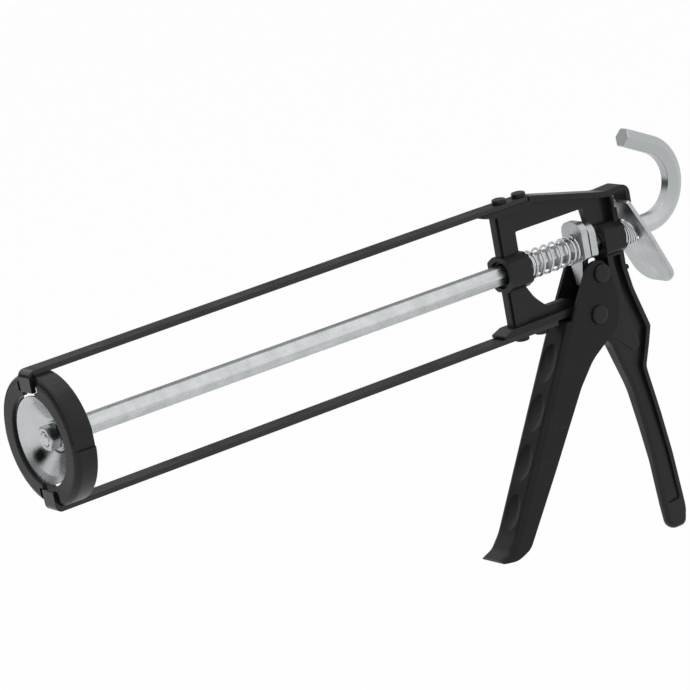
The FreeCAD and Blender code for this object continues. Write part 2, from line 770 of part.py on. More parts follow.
# ---------------------------------------------------------------- drive plates
def make_drive_plate(label, face, corners):
    """Plate across the rod; it grips the rod when the trigger's pin pushes on it."""
    body = new_body(label, Vector(face, 0, 0))
    sketch = new_sketch(body, "outline", "YZ_Plane")
    draw_outline(sketch, mirrored_corners(corners))
    pad(body, sketch, "plate", "Sizes.drive_plate_thickness", symmetric=False, backwards=True)
    bore = new_sketch(body, "bore_outline", "YZ_Plane")
    draw_circle(bore, 0, 0, bore_radius, "Sizes.hex_across / 2 / cos(30) + Sizes.rod_clearance")
    cut(body, bore, "bore", symmetric=True)
    return body


def make_drive_plates():
    """Front plate with a tail for the drive pin, and the plain rear plate."""
    front = [
        (size.front_plate_half, size.front_plate_top, 5.0),
        (size.front_plate_half, -size.plate_shoulder, 1.5),
        (4.4, -size.plate_shoulder - 0.8, 1.5),
        (2.2, -size.front_plate_tail, 1.0),
    ]
    rear = [
        (size.rear_plate_half, size.rear_plate_top, 5.0),
        (size.rear_plate_half, -size.plate_shoulder - 0.3, 2.0),
    ]
    return [
        make_drive_plate("front_drive_plate", front_plate_face, front),
        make_drive_plate("rear_drive_plate", rear_plate_face, rear),
    ]


# ---------------------------------------------------------------- springs
def make_spring(label, wire, coils, place):
    """Coil spring whose wire follows place(turn fraction, angle)."""
    steps = round(coils * 12)
    points = [place(step / steps, 2 * math.pi * coils * step / steps) for step in range(steps + 1)]
    path = Part.BSplineCurve()
    path.interpolate(points)
    edge = path.toShape()
    start, tangent = path.value(path.FirstParameter), path.tangent(path.FirstParameter)[0]
    section = Part.Wire(Part.makeCircle(wire / 2, start, tangent))
    solid = Part.Wire(edge).makePipeShell([section], True, True)
    spring = doc.addObject("Part::Feature", label)
    spring.Label = label
    spring.Shape = solid
    spring.Placement = Placement()
    return spring


def make_springs():
    """Drive spring ahead of the plates and release spring ahead of the release plate."""
    drive_start = hub_rear_face - size.drive_wire / 2 - size.spring_seat
    drive_end = front_plate_face + size.drive_wire / 2 + size.spring_seat

    def drive_place(fraction, angle):
        """One and a half close coils at the front, then even open coils."""
        turns = fraction * size.drive_coils
        closed = 1.6 * size.drive_wire * 1.06
        eased = max(0.0, (turns - 1.6) / (size.drive_coils - 1.6))
        travel = closed * min(turns / 1.6, 1.0) + (drive_start - drive_end - closed) * eased
        around = Vector(0, math.cos(angle), math.sin(angle)) * size.spring_radius
        return Vector(drive_start - travel, 0, 0) + around

    release_start = -size.post_distance - rear_hub_end - size.release_wire / 2 - size.spring_seat
    lean = math.tan(math.radians(size.release_lean))
    cover = size.release_wire / 2 / math.cos(math.radians(size.release_lean)) + size.spring_seat

    def release_place(fraction, angle):
        """Coils that lean more and more until the last lies along the tilted plate."""
        around = Vector(0, math.cos(angle), math.sin(angle)) * size.spring_radius
        plate = release_face + lean * around.z + cover
        return Vector(release_start + (plate - release_start) * fraction, 0, 0) + around

    return [
        make_spring("drive_spring", size.drive_wire, size.drive_coils, drive_place),
        make_spring("release_spring", size.release_wire, size.release_coils, release_place),
    ]


# ---------------------------------------------------------------- rod and disc
def make_plunger_rod():
    """Hexagonal push rod with a bent hook behind and a stud in front."""
    body = new_body("plunger_rod")
    shoulder = disc_front - size.disc_thickness
    section = new_sketch(body, "hexagon", "YZ_Plane", shoulder)
    draw_outline(section, polygon(6, size.hex_across, 0.4))
    path = new_sketch(body, "route", "XZ_Plane")
    bend_start = Vector(bend_start_x, 0, 0)
    centre = bend_start + Vector(0, size.hook_radius, 0)

    def on_bend(turn):
        angle = math.radians(-90 - turn)
        return centre + Vector(math.cos(angle), math.sin(angle), 0) * size.hook_radius

    bend_end = on_bend(size.hook_turn)
    heading = math.radians(180 - size.hook_turn)
    leg_end = bend_end + Vector(math.cos(heading), math.sin(heading), 0) * size.hook_leg
    path.addGeometry(Part.LineSegment(Vector(shoulder, 0, 0), bend_start))
    path.addGeometry(Part.Arc(bend_start, on_bend(size.hook_turn / 2), bend_end))
    path.addGeometry(Part.LineSegment(bend_end, leg_end))
    doc.recompute()
    pipe = body.newObject("PartDesign::AdditivePipe", "plunger_rod_bar")
    pipe.Profile = section
    pipe.Spine = (path, ["Edge1", "Edge2", "Edge3"])
    pipe.Mode = "Standard"
    pipe.Transition = "Transformed"
    doc.recompute()
    stud = new_sketch(body, "stud_outline", "YZ_Plane", shoulder)
    draw_circle(stud, 0, 0, size.stud_radius, "Sizes.stud_radius")
    pad(
        body, stud, "stud",
        "Sizes.disc_rim + Sizes.disc_dish + Sizes.disc_thickness - Sizes.stud_recess",
        symmetric=False,
    )
    return body


def make_plunger_disc():
    """Pressed disc, dished so that its rim leads."""
    body = new_body("plunger_disc")
    sketch = new_sketch(body, "section", "XZ_Plane")
    hole = size.stud_radius + size.stud_fit
    thick = size.disc_thickness
    draw_outline(sketch, [
        (disc_front, hole, 0),
        (disc_front, size.disc_flat, 3.0),
        (-size.disc_rim - 1.6, size.disc_radius - 3.0, 6.0),
        (-size.disc_rim, size.disc_radius, 0.2),
        (-size.disc_rim - thick, size.disc_radius, 0.5),
        (-size.disc_rim - 1.6 - thick, size.disc_radius - 3.0, 5.0),
        (disc_front - thick, size.disc_flat + 0.4, 3.0),
        (disc_front - thick, hole, 0),
    ])
    revolve(body, sketch, "dish")
    return body


def make_disc_washer():
    """Plain washer under the nut."""
    body = new_body("disc_washer")
    sketch = new_sketch(body, "section", "XZ_Plane")
    hole = size.stud_radius + size.stud_fit
    draw_outline(sketch, [
        (disc_front, hole, 0),
        (disc_front, size.washer_radius, 0.2),
        (disc_front + size.washer_thickness, size.washer_radius, 0.2),
        (disc_front + size.washer_thickness, hole, 0),
    ])
    revolve(body, sketch, "washer")
    return body


def make_disc_nut():
    """Hexagonal nut that clamps the disc on the rod's stud."""
    body = new_body("disc_nut", Vector(disc_front + size.washer_thickness, 0, 0))
    sketch = new_sketch(body, "hexagon", "YZ_Plane")
    draw_outline(sketch, polygon(6, size.nut_across))
    pad(body, sketch, "nut", "Sizes.nut_height", symmetric=False)
    bore = new_sketch(body, "bore_outline", "YZ_Plane")
    draw_circle(bore, 0, 0, size.stud_radius + size.stud_fit, "Sizes.stud_radius + Sizes.stud_fit")
    cut(body, bore, "bore", symmetric=True)
    return body


# ---------------------------------------------------------------- release plate
def make_release_plate():
    """Tilted plate behind the casting; pressing it down frees the rod."""
    lean = Rotation(Vector(0, 1, 0), size.release_lean)
    body = new_body("release_plate", Vector(release_face, 0, 0), lean)
    sketch = new_sketch(body, "outline", "YZ_Plane")
    draw_outline(sketch, mirrored_corners([
        (size.release_tongue / 2, size.release_top, 1.2),
        (size.release_tongue / 2, size.release_shoulder, 0.6),
        (size.release_shoulder_half, size.release_shoulder, 1.2),
        (size.release_half, -2.0, 40),
        (size.release_half - 0.6, -size.release_bottom, 8.5),
    ]))
    pad(body, sketch, "plate", "Sizes.release_thickness", symmetric=False, backwards=True)
    hole = new_sketch(body, "hole_outline", "YZ_Plane")
    middle = -size.release_thickness / 2 * math.tan(math.radians(size.release_lean))
    half = size.release_hole_height / 2
    draw_outline(hole, rectangle(
        -bore_radius, bore_radius, middle - half, middle + half, bore_radius - 0.3
    ))
    cut(body, hole, "hole", symmetric=True)
    return body


# ---------------------------------------------------------------- build and write
def build():
    """Make every piece and return the list of named objects."""
    pieces = [
        make_front_ring(),
        make_bar("upper_bar", 1, size.upper_seat_height, size.upper_toe, size.upper_bar_overhang),
        make_bar("lower_bar", -1, size.lower_seat_height, size.lower_toe, size.lower_bar_overhang),
        make_frame_casting(),
    ]
    for name, side, seat in (
        ("upper", 1, size.upper_seat_height),
        ("lower", -1, size.lower_seat_height),
    ):
        for index, place in enumerate(("front", "rear")):
            pieces.append(make_bar_rivet(f"{name}_{place}_rivet", side, seat, index))
    pieces.append(make_pin("pivot_rivet", pivot))
    pieces.append(make_trigger())
    pieces.append(make_pin("drive_rivet", pivot + drive_pin))
    pieces += make_drive_plates()
    pieces += make_springs()
    pieces.append(make_plunger_rod())
    pieces.append(make_plunger_disc())
    pieces.append(make_disc_washer())
    pieces.append(make_disc_nut())
    pieces.append(make_release_plate())
    return pieces


def check_document(pieces):
    """Stop with a message if any object failed or any piece is not one valid solid."""
    doc.recompute()
    for item in doc.Objects:
        if "Invalid" in item.State or "Error" in item.State:
            raise RuntimeError(f"{item.Name} is in state {item.State}")
    for piece in pieces:
        shape = piece.Shape
        if shape.isNull() or not shape.isValid():
            raise RuntimeError(f"{piece.Label} has no valid shape")
        if len(shape.Solids) != 1:
            raise RuntimeError(f"{piece.Label} holds {len(shape.Solids)} solids")


def main():
    """Build, check and export one STEP file for each piece."""
    pieces = build()
    check_document(pieces)
    os.makedirs("parts", exist_ok=True)
    for piece in pieces:
        piece.Shape.exportStep(f"parts/{piece.Label}.step")
        box = piece.Shape.BoundBox
        print(
            f"{piece.Label:20s} volume {piece.Shape.Volume:9.1f}"
            f"  x {box.XMin:8.2f} {box.XMax:8.2f}"
            f"  y {box.YMin:7.2f} {box.YMax:7.2f}"
            f"  z {box.ZMin:8.2f} {box.ZMax:7.2f}"
        )


main()
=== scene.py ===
"""Caulking gun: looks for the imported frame, built piece by piece in metres."""
import logging
import math
from dataclasses import dataclass
from enum import Enum
from typing import Iterable, Sequence

import bmesh
import bpy
from mathutils import Matrix, Vector


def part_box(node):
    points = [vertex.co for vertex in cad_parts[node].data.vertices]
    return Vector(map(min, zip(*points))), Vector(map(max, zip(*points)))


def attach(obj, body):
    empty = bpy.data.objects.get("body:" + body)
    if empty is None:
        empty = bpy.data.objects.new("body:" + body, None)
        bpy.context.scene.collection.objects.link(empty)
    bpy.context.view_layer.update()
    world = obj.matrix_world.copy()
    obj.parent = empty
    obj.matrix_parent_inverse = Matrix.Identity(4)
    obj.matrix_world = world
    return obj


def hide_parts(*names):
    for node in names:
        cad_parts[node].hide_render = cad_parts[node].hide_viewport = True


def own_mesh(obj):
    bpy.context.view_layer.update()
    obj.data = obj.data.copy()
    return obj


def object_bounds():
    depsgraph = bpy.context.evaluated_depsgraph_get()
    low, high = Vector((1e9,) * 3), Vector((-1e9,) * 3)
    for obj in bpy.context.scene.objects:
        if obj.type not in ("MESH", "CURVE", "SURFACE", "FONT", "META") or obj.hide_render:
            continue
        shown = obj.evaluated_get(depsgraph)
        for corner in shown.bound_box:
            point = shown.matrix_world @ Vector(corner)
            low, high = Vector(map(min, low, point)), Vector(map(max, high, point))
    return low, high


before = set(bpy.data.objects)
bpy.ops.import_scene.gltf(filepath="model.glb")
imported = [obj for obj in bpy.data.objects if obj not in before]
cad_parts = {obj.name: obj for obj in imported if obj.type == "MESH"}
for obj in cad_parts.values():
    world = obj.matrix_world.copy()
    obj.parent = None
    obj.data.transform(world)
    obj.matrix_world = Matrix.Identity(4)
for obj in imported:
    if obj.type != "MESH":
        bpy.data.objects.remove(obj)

CAD_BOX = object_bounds()
MM = 0.001
WELD = 0.002 * MM
CAD_WELD = 0.004 * MM
COIL_WELD = 0.001 * MM
FLAT_ANGLE = math.radians(0.6)
SMOOTH_WEIGHT = 80
COLUMN_WIDTH = 200
HEXAGON_HALF = math.pi / 6
WHITE = (1.0, 1.0, 1.0)
ORIGIN = Vector((0, 0, 0))
FORWARD = Vector((1, 0, 0))
LEFT = Vector((0, 1, 0))
UPWARD = Vector((0, 0, 1))
ALONG_ROD = Matrix.Rotation(math.radians(90), 4, "Y")
ALONG_COIL = Matrix.Rotation(math.radians(90), 4, "X")
LOG = logging.getLogger("caulking_gun")

Tree = bpy.types.NodeTree
Node = bpy.types.Node
Socket = bpy.types.NodeSocket
Material = bpy.types.Material
Mesh = bpy.types.Mesh
Shape = bmesh.types.BMesh
Edges = list[bmesh.types.BMEdge]
Span = tuple[float, float]
Triple = tuple[float, float, float]
Profile = Sequence[tuple[float, float]]


class Slot(Enum):
    """Material slots, by name."""

    ENAMEL = "black_enamel"
    ZINC = "zinc_plate"
    WIRE = "spring_wire"


class Body(Enum):
    """Rigid bodies that pieces ride on."""

    FRAME = "frame"
    TRIGGER = "trigger"
    PLATES = "drive_plates"
    ROD = "rod"
    RELEASE = "release_plate"


class Flow(Enum):
    """Where a finish takes its pattern's coordinates from."""

    OBJECT = "object"
    STRAIGHTENED = "straightened"


# ---------------------------------------------------------------- shader helpers
def feed(tree: Tree, entry: Socket, value: Socket | float | Sequence[float]) -> None:
    """Link an input to a socket, or set it to a plain value.

    Args:
        tree: The input's tree.
        entry: The input.
        value: The socket or the value.
    """
    if isinstance(value, Socket):
        tree.links.new(value, entry)
    else:
        entry.default_value = value


def set_up(tree: Tree, node: Node, **values) -> Node:
    """Set a node's properties and feed its inputs by name.

    Args:
        tree: The node's tree.
        node: The node.
        values: Properties, or inputs whose name has its blanks replaced by underscores.

    Returns:
        The same node.
    """
    for name, value in values.items():
        entry = node.inputs.get(name.replace("_", " "))
        if hasattr(node, name):
            setattr(node, name, value)
        elif entry is not None:
            feed(tree, entry, value)
        else:
            raise KeyError(f"{node.bl_idname} has no {name}")
    return node


def add_node(tree: Tree, kind: str, **values) -> Node:
    """Add a node to the right of a tree's other nodes and set it up.

    Args:
        tree: The tree that takes the node.
        kind: Blender's identifier of the node's type.
        values: Properties and inputs by name, as set_up takes them.

    Returns:
        The new node.
    """
    node = tree.nodes.new(kind)
    node.location.x = COLUMN_WIDTH * len(tree.nodes)
    return set_up(tree, node, **values)


def add_noise(tree: Tree, where: Socket, **values) -> Socket:
    """Add a noise pattern on the given coordinates and return its value."""
    return add_node(tree, "ShaderNodeTexNoise", Vector=where, **values).outputs["Fac"]


def combine(
    tree: Tree, operation: str, *values: Socket | float | Triple, kind: str = "ShaderNodeMath"
) -> Socket:
    """Work a value out with a Math or Vector Math node.

    Args:
        tree: The tree that takes the node.
        operation: The node's operation.
        values: What goes into it, in order.
        kind: Blender's identifier of the node's type.

    Returns:
        The result's socket.
    """
    node = add_node(tree, kind, operation=operation)
    for entry, value in zip(node.inputs, values):
        feed(tree, entry, value)
    return node.outputs["Value"]


def remap(
    tree: Tree, value: Socket, source: Span, result: Span = (0.0, 1.0), curve: str = "LINEAR"
) -> Socket:
    """Stretch a value from one span to another, and hold it at both ends.

    Args:
        tree: The tree that takes the node.
        value: The value.
        source: The span that the value comes from.
        result: What the ends of that span become.
        curve: The Map Range node's interpolation.

    Returns:
        The result's socket.
    """
    node = add_node(
        tree, "ShaderNodeMapRange", interpolation_type=curve, Value=value,
        From_Min=source[0], From_Max=source[1], To_Min=result[0], To_Max=result[1],
    )
    return node.outputs["Result"]


def blend(tree: Tree, share: Socket, first: Socket | Triple, second: Triple) -> Socket:
    """Mix two colours by a mask.

    Args:
        tree: The material's tree.
        share: The mask, which is 1 where only the second colour shows.
        first: The colour below, or the socket that gives it.
        second: The colour on top.

    Returns:
        The mixed colour's socket.
    """
    mix = add_node(tree, "ShaderNodeMix", data_type="RGBA", Factor=share)
    below, above = (entry for entry in mix.inputs if entry.type == "RGBA")
    feed(tree, below, first if isinstance(first, Socket) else (*first, 1.0))
    feed(tree, above, (*second, 1.0))
    return next(socket for socket in mix.outputs if socket.type == "RGBA")


def show_mixed(tree: Tree, kind: str, share: Socket, first: Socket, second: Socket) -> None:
    """Mix two shaders by a mask and end the tree with the result.

    Args:
        tree: The world's or the material's tree.
        kind: Blender's identifier of the output node's type.
        share: The mask, which is 1 where only the second shader shows.
        first: The first shader.
        second: The second shader.
    """
    mix = add_node(tree, "ShaderNodeMixShader", Fac=share)
    tree.links.new(first, mix.inputs[1])
    tree.links.new(second, mix.inputs[2])
    add_node(tree, kind, Surface=mix.outputs["Shader"])


# ---------------------------------------------------------------- shared effects
def new_group(
    name: str, inputs: dict[str, float | None], outputs: Iterable[str]
) -> tuple[Tree, dict[str, Socket]]:
    """Start a shader node group with named sockets.

    Args:
        name: The group's name.
        inputs: Each input's name and starting value, which is None for a vector.
        outputs: Names of the float outputs.

    Returns:
        The node tree, and the sockets that carry its inputs.
    """
    tree = bpy.data.node_groups.new(name, "ShaderNodeTree")
    for label, value in inputs.items():
        kind = "NodeSocketVector" if value is None else "NodeSocketFloat"
        socket = tree.interface.new_socket(name=label, in_out="INPUT", socket_type=kind)
        if value is not None:
            socket.default_value = value
    for label in outputs:
        tree.interface.new_socket(name=label, in_out="OUTPUT", socket_type="NodeSocketFloat")
    return tree, dict(add_node(tree, "NodeGroupInput").outputs.items())


def make_grain_group() -> Tree:
    """Build the grain of a cast or sprayed skin: fine height and a broad mottle.

    Returns:
        The group.
    """
    inputs = {"Vector": None, "Size": 900.0}
    tree, given = new_group("skin grain", inputs, ("Height", "Mottle"))
    fine = add_noise(tree, given["Vector"], Scale=given["Size"], Detail=3.0, Roughness=0.6)
    broad = add_noise(tree, given["Vector"], Scale=55.0, Detail=4.0, Roughness=0.65)
    add_node(tree, "NodeGroupOutput", Height=fine, Mottle=broad)
    return tree


def make_scuff_group() -> Tree:
    """Build sparse fine scratches and rubbed flecks as one mask.

    Returns:
        The group.
    """
    tree, given = new_group("scuffs", {"Vector": None, "Cover": 0.3}, ("Mask",))
    where = given["Vector"]
    lengthwise = ((0.3, 0.5, 0.2), (40, 900, 900))
    crosswise = ((1.1, 0.2, 0.9), (900, 60, 900))
    streaks = []
    for turn, stretch in (lengthwise, crosswise):
        spread = add_node(
            tree, "ShaderNodeMapping", Vector=where, Rotation=turn, Scale=stretch
        )
        noise = add_noise(tree, spread.outputs["Vector"], Scale=1.0, Detail=2.0)
        streaks.append(remap(tree, noise, (0.70, 0.76)))
    either = combine(tree, "MAXIMUM", *streaks)
    patches = remap(tree, add_noise(tree, where, Scale=38.0, Detail=3.0), (0.46, 0.66))
    limited = combine(tree, "MULTIPLY", either, patches)
    add_node(tree, "NodeGroupOutput", Mask=combine(tree, "MULTIPLY", limited, given["Cover"]))
    return tree


def make_drawn_group() -> Tree:
    """Build the lines that drawing or rolling leaves, long on X and fine across it.

    Returns:
        The group.
    """
    inputs = {"Vector": None, "Fineness": 1.0}
    tree, given = new_group("drawn lines", inputs, ("Lines", "Blotches"))
    where = given["Vector"]
    spread = add_node(tree, "ShaderNodeMapping", Vector=where, Scale=(14.0, 1500.0, 1500.0))
    lines = add_noise(
        tree, spread.outputs["Vector"], Scale=given["Fineness"], Detail=4.0, Roughness=0.7
    )
    blotches = add_noise(tree, where, Scale=160.0, Detail=5.0, Roughness=0.6)
    add_node(tree, "NodeGroupOutput", Lines=lines, Blotches=blotches)
    return tree


def make_dab_group() -> Tree:
    """Build one soft-edged dab of painted shade as a mask: a dark patch that stands for a shadow
    and a dark reflection.

    Returns:
        The group.
    """
    inputs = {"Vector": None, "Centre": None, "Reach": 0.003}
    tree, given = new_group("grease dab", inputs, ("Mask",))
    ends = (given["Vector"], given["Centre"])
    away = combine(tree, "DISTANCE", *ends, kind="ShaderNodeVectorMath")
    share = combine(tree, "DIVIDE", away, given["Reach"])
    waver = add_noise(tree, given["Vector"], Scale=420.0, Detail=3.0)
    ragged = combine(tree, "MULTIPLY_ADD", waver, 0.5, share)
    mask = remap(tree, ragged, (0.60, 1.35), (0.96, 0.0), "SMOOTHSTEP")
    add_node(tree, "NodeGroupOutput", Mask=mask)
    return tree


@dataclass(frozen=True)
class Effects:
    """Node groups that several finishes share."""

    grain: Tree
    scuffs: Tree
    drawn: Tree
    dab: Tree

    @classmethod
    def build(cls) -> "Effects":
        """Make each group once."""
        return cls(make_grain_group(), make_scuff_group(), make_drawn_group(), make_dab_group())


def place_group(tree: Tree, group: Tree, **values) -> Node:
    """Place a node group in a material with its own values."""
    return add_node(tree, "ShaderNodeGroup", node_tree=group, **values)


# ---------------------------------------------------------------- finishes
@dataclass(frozen=True)
class Enamel:
    """Black enamel sprayed on a casting, a pressing or a strip."""

    name: str
    colour: Triple = (0.0085, 0.0085, 0.0088)
    pale: Triple = (0.0140, 0.0140, 0.0144)
    rubbed: Triple = (0.10, 0.10, 0.102)
    roughness: Span = (0.30, 0.46)
    mottle_span: Span = (0.3, 0.7)
    grain_size: float = 1100.0
    grain_depth: float = 0.10
    grain_height: float = 0.0004
    scuffs: float = 0.5
    coat: float = 0.05
    coat_roughness: float = 0.12
    gloss: float = 0.24

    def build(self, effects: Effects) -> Material:
        """Build the material.

        Args:
            effects: The shared node groups.

        Returns:
            The finished material.
        """
        material = bpy.data.materials.new(self.name)
        material.use_nodes = True
        tree = material.node_tree
        where = add_node(tree, "ShaderNodeTexCoord").outputs["Object"]
        grain = place_group(tree, effects.grain, Vector=where, Size=self.grain_size)
        scuffs = place_group(tree, effects.scuffs, Vector=where, Cover=self.scuffs)
        mottle = grain.outputs["Mottle"]
        base = blend(tree, mottle, self.colour, self.pale)
        bump = add_node(
            tree, "ShaderNodeBump", Height=grain.outputs["Height"],
            Strength=self.grain_depth, Distance=self.grain_height,
        )
        set_up(
            tree, tree.nodes["Principled BSDF"],
            Base_Color=blend(tree, scuffs.outputs["Mask"], base, self.rubbed),
            Roughness=remap(tree, mottle, self.mottle_span, self.roughness),
            Normal=bump.outputs["Normal"],
            Specular_IOR_Level=self.gloss,
            Coat_Weight=self.coat,
            Coat_Roughness=self.coat_roughness,
        )
        return material


@dataclass(frozen=True)
class Dab:
    """One dab of painted shade on a piece, in metres: a dark patch that stands for a shadow and a
    dark reflection.
    """

    centre: Triple
    reach: float


@dataclass(frozen=True)
class Zinc:
    """Bright zinc plating over drawn or rolled steel."""

    name: str
    flow: Flow = Flow.OBJECT
    colour: Triple = (0.50, 0.52, 0.535)
    dull: Triple = (0.40, 0.415, 0.42)
    roughness: Span = (0.24, 0.38)
    line_span: Span = (0.35, 0.65)
    line_depth: float = 0.12
    line_height: float = 0.0003
    blotch_span: Span = (0.32, 0.68)
    fineness: float = 1.0
    turn: Triple = (0.0, 0.0, 0.0)
    # Colour of the painted shade that each dab lays on, dark for a shadow and a dark reflection.
    painted_shade: Triple = (0.012, 0.013, 0.014)
    bend: Span | None = None
    bend_shade: float = 0.86
    shade_dabs: Sequence[Dab] = ()

    def build(self, effects: Effects) -> Material:
        """Build the material.

        Args:
            effects: The shared node groups.

        Returns:
            The finished material.
        """
        material = bpy.data.materials.new(self.name)
        material.use_nodes = True
        tree = material.node_tree
        where = self.coordinates(tree)
        turned = add_node(tree, "ShaderNodeMapping", Vector=where, Rotation=self.turn)
        drawn = place_group(
            tree, effects.drawn, Vector=turned.outputs["Vector"], Fineness=self.fineness
        )
        lines = drawn.outputs["Lines"]
        blotches = remap(tree, drawn.outputs["Blotches"], self.blotch_span)
        colour = blend(tree, blotches, self.colour, self.dull)
        if self.bend:
            colour = self.strain(tree, where, colour)
        # Painted shade: each dab darkens the colour where a shadow and a dark reflection fall.
        for dab in self.shade_dabs:
            shade_mask = place_group(
                tree, effects.dab, Vector=where, Centre=dab.centre, Reach=dab.reach
            )
            colour = blend(tree, shade_mask.outputs["Mask"], colour, self.painted_shade)
        bump = add_node(
            tree, "ShaderNodeBump", Height=lines,
            Strength=self.line_depth, Distance=self.line_height,
        )
        set_up(
            tree, tree.nodes["Principled BSDF"],
            Base_Color=colour,
            Roughness=remap(tree, lines, self.line_span, self.roughness),
            Normal=bump.outputs["Normal"],
            Metallic=1.0,
        )
        return material

    def coordinates(self, tree: Tree) -> Socket:
        """Find the coordinates that the pattern follows.

        Args:
            tree: The material's tree.

        Returns:
            Their socket.
        """
        if self.flow is Flow.OBJECT:
            return add_node(tree, "ShaderNodeTexCoord").outputs["Object"]
        kept = self.flow.value
        node = add_node(tree, "ShaderNodeAttribute", attribute_name=kept)
        return node.outputs["Vector"]

    def strain(self, tree: Tree, where: Socket, colour: Socket) -> Socket:
        """Dull the plating past the place where the steel was bent.

        Args:
            tree: The material's tree.
            where: The pattern's coordinates.
            colour: The colour so far.

        Returns:
            The new colour's socket.
        """
        split = add_node(tree, "ShaderNodeSeparateXYZ", Vector=where)
        past = remap(tree, split.outputs["X"], self.bend)
        strained = tuple(self.bend_shade * part for part in self.dull)
        return blend(tree, past, colour, strained)


@dataclass
class Finishes:
    """All finishes of the gun, built once."""

    cast: Material
    pressed: Material
    lever: Material
    strip: Material
    head: Material
    rod: Material
    dished: Material
    turned: Material
    plate: Material
    wire: Material

    @classmethod
    def build(cls) -> "Finishes":
        """Make the shared groups and each material.

        Returns:
            All the finishes.
        """
        effects = Effects.build()
        return cls(
            cast=Enamel("cast enamel", grain_size=900.0, grain_depth=0.16).build(effects),
            pressed=Enamel("pressed enamel", grain_size=1500.0, grain_depth=0.08).build(effects),
            lever=Enamel(
                "lever enamel", grain_size=1500.0, grain_depth=0.08, gloss=0.17, coat=0.03,
            ).build(effects),
            strip=Enamel(
                "strip enamel", grain_size=1800.0, grain_depth=0.05, roughness=(0.24, 0.38),
                coat=0.12, gloss=0.36,
            ).build(effects),
            head=Enamel(
                "rivet enamel", grain_size=1400.0, grain_depth=0.10, scuffs=0.9,
            ).build(effects),
            rod=Zinc(
                "rod zinc", flow=Flow.STRAIGHTENED, colour=(0.62, 0.64, 0.65),
                dull=(0.50, 0.52, 0.525), bend=(-0.312, -0.345),
            ).build(effects),
            dished=Zinc(
                "dished zinc", colour=(0.56, 0.58, 0.59), dull=(0.50, 0.52, 0.525),
                fineness=0.35, line_depth=0.006, roughness=(0.24, 0.28),
                # Painted shade beside the nut: its shadow and dark reflection on the dish.
                shade_dabs=(Dab((-0.0050, -0.0098, -0.0086), 0.0041),),
            ).build(effects),
            turned=Zinc(
                "turned zinc", colour=(0.60, 0.62, 0.63), dull=(0.42, 0.44, 0.45),
                fineness=0.6, line_depth=0.05, roughness=(0.16, 0.28),
                # Painted shade: a dark reflection on the nut's upper facet.
                shade_dabs=(Dab((-0.0058, 0.0050, 0.0030), 0.0048),),
            ).build(effects),
            plate=Zinc(
                "plate zinc", colour=(0.52, 0.54, 0.55), dull=(0.43, 0.45, 0.455),
                turn=(0.0, math.radians(90), 0.0), roughness=(0.28, 0.42),
            ).build(effects),
            wire=Zinc(
                "wire zinc", colour=(0.62, 0.63, 0.64), dull=(0.5, 0.51, 0.52),
                roughness=(0.14, 0.26), line_depth=0.03,
            ).build(effects),
        )


# ---------------------------------------------------------------- mesh helpers
def add_object(name: str, data: bpy.types.ID) -> bpy.types.Object:
    """Make an object and link it to the scene.

    Args:
        name: The object's name.
        data: Its mesh, lamp or camera.

    Returns:
        The new object.
    """
    item = bpy.data.objects.new(name, data)
    bpy.context.scene.collection.objects.link(item)
    return item


def mesh_of(shape: Shape, name: str) -> Mesh:
    """Turn a bmesh into a mesh and free it.

    Args:
        shape: The finished shape, in metres.
        name: The mesh's name.

    Returns:
        The new mesh.
    """
    mesh = bpy.data.meshes.new(name)
    shape.to_mesh(mesh)
    shape.free()
    return mesh


def shade(mesh: Mesh, crease: float) -> None:
    """Shade a mesh smooth, except at edges sharper than the crease in degrees."""
    mesh.shade_smooth()
    mesh.set_sharp_from_angle(angle=math.radians(crease))


def finish_piece(
    shape: Shape, name: str, body: Body, material: Material, crease: float = 35.0
) -> bpy.types.Object:
    """Turn a bmesh into a piece that rides on a body.

    Args:
        shape: The finished shape, in metres; it is freed.
        name: The piece's name.
        body: The rigid body that carries it.
        material: The piece's finish.
        crease: Edges sharper than this many degrees stay sharp.

    Returns:
        The new object.
    """
    mesh = mesh_of(shape, name)
    shade(mesh, crease)
    mesh.materials.append(material)
    piece = add_object(name, mesh)
    even = piece.modifiers.new("even shading", "WEIGHTED_NORMAL")
    even.keep_sharp = True
    even.weight = SMOOTH_WEIGHT
    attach(piece, body.value)
    LOG.info("%s: %d faces on %s", name, len(mesh.polygons), body.value)
    return piece


def spun(profile: Profile, centre: Vector, axis: Vector, side: Vector, steps: int = 72) -> Shape:
    """Spin an outline of (along, radius) points, in millimetres, all the way round an axis.

    Args:
        profile: Outline from end to end of the axis, or a closed loop that repeats its start.
        centre: The point that the distances along the axis start from, in metres.
        axis: Unit vector of the axis.
        side: Unit vector square to the axis.
        steps: Number of facets round the axis.

    Returns:
        The closed shape.
    """
    shape = bmesh.new()
    corners = [
        shape.verts.new(centre + axis * along * MM + side * radius * MM)
        for along, radius in profile
    ]
    edges = [shape.edges.new(pair) for pair in zip(corners, corners[1:])]
    bmesh.ops.spin(
        shape, geom=corners + edges, cent=centre, axis=axis, angle=math.tau, steps=steps,
        use_merge=True,
    )
    bmesh.ops.remove_doubles(shape, verts=shape.verts, dist=WELD)
    bmesh.ops.recalc_face_normals(shape, faces=shape.faces)
    return shape


